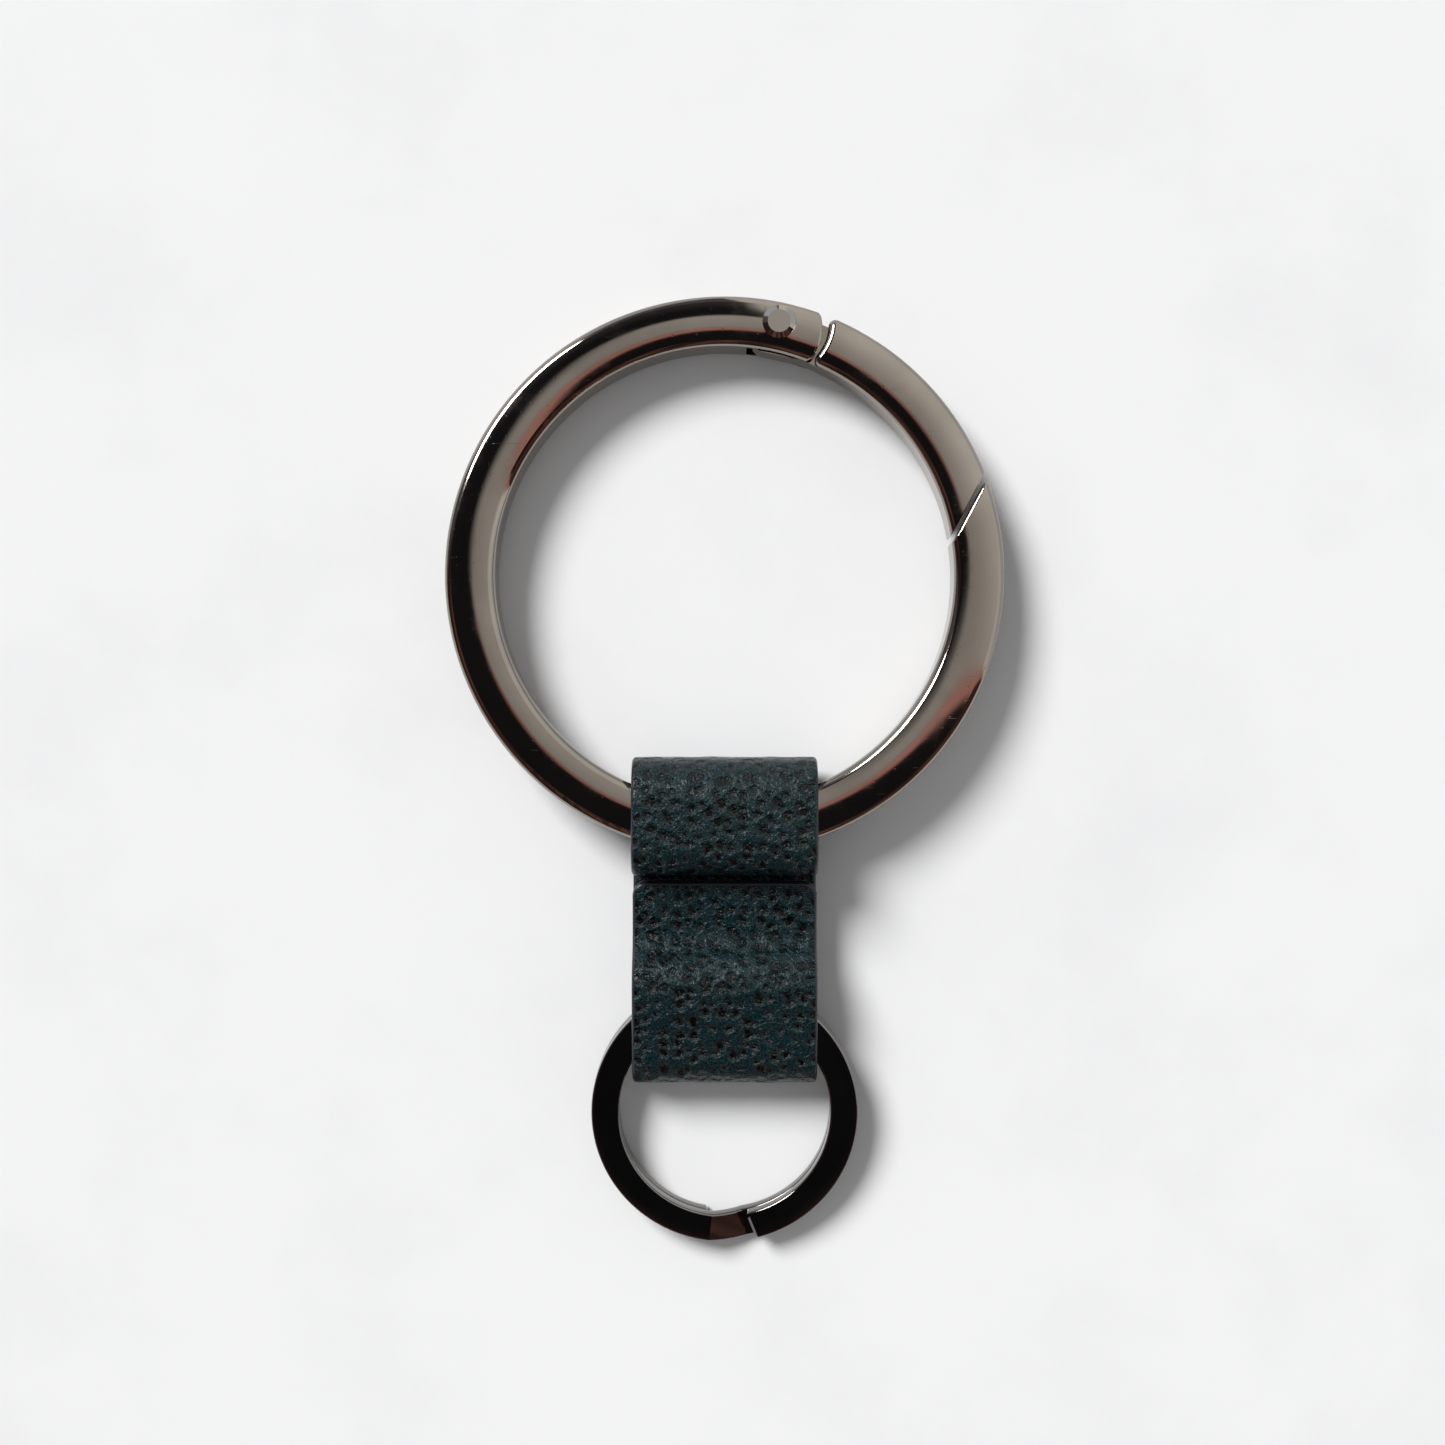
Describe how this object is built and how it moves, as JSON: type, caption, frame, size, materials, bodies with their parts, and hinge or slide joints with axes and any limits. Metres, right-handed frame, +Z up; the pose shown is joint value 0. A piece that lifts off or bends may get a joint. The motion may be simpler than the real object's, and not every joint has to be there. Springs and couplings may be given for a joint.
{
  "type": "key ring holder",
  "caption": "Hinged spring gate ring joined to a split key ring by a folded leather strap, for carrying keys.",
  "frame": {"origin": "middle of the footprint, on the surface that the holder lies on", "axes": "+X across the strap, +Y from the split ring towards the gate ring, +Z up from the surface"},
  "size_m": [0.05, 0.0852, 0.0085],
  "materials": {
    "gunmetal_ring": "polished gunmetal plating",
    "gunmetal_gate": "polished gunmetal plating",
    "gunmetal_rivet": "polished gunmetal plating",
    "spring_steel": "bright drawn wire",
    "black_nickel_wire": "polished black nickel plating",
    "teal_leather": "pebbled, satin",
    "dark_lining": "smooth, matt"
  },
  "bodies": {
    "strap": {"strap_leather": "teal_leather", "strap_lining": "dark_lining"},
    "gate_ring": {"gate_ring_body": "gunmetal_ring", "hinge_rivet": "gunmetal_rivet", "gate_spring": "spring_steel"},
    "gate_arm": {"gate": "gunmetal_gate"},
    "small_ring": {"split_ring": "black_nickel_wire"}
  },
  "joints": [
    {"name": "gate_ring_turn", "type": "hinge", "parent": "strap", "child": "gate_ring", "pos_m": [0, 0.01757, 0.00337], "axis": [0, 0.0363, 0.9993], "range_deg": [-70, 165]},
    {"name": "gate_hinge", "type": "hinge", "parent": "gate_ring", "child": "gate_arm", "pos_m": [0.00488, 0.04011, 0.00256], "axis": [0, 0.0363, 0.9993], "range_deg": [-30, 0], "stiffness_Nm_per_rad": 0.006, "springref_deg": 22.92, "deforming": ["gate_spring"]},
    {"name": "split_ring_turn", "type": "hinge", "parent": "strap", "child": "small_ring", "pos_m": [0, -0.03064, 0.00252], "axis": [0, -0.106, 0.9944], "continuous": true}
  ]
}
